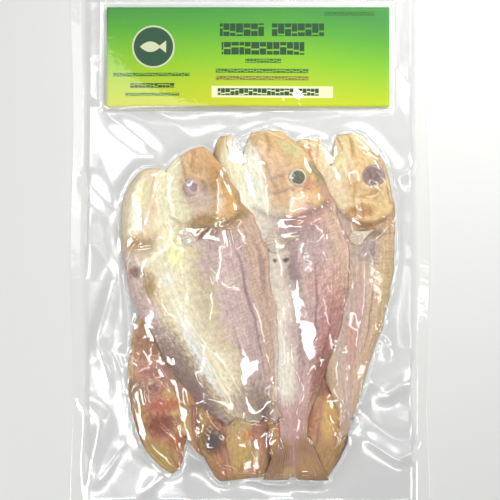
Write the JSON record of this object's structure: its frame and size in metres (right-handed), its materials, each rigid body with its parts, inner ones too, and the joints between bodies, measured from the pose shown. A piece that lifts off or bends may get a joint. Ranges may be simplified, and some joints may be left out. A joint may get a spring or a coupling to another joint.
{
  "type": "vacuum pack of dried threadfin bream",
  "caption": "Clear vacuum pack of butterfly-cut dried threadfin bream, fish side up, with a printed card in its flat header; lies flat on its back.",
  "frame": {"origin": "on the surface it lies on, under the middle of the pack", "axes": "+X to the right of the pack's front, +Y along its length towards the header, +Z out of its front"},
  "size_m": [0.178, 0.254, 0.016],
  "materials": {
    "film_and_fish": "clear wrinkled film, shrunk tightly over pale gold, cream and purple-brown fish",
    "printed_card": "satin print, green at the top turning to yellow-green at the bottom, under film"
  },
  "bodies": {
    "root": {"bag": "film_and_fish", "label_card": "printed_card"}
  },
  "joints": []
}
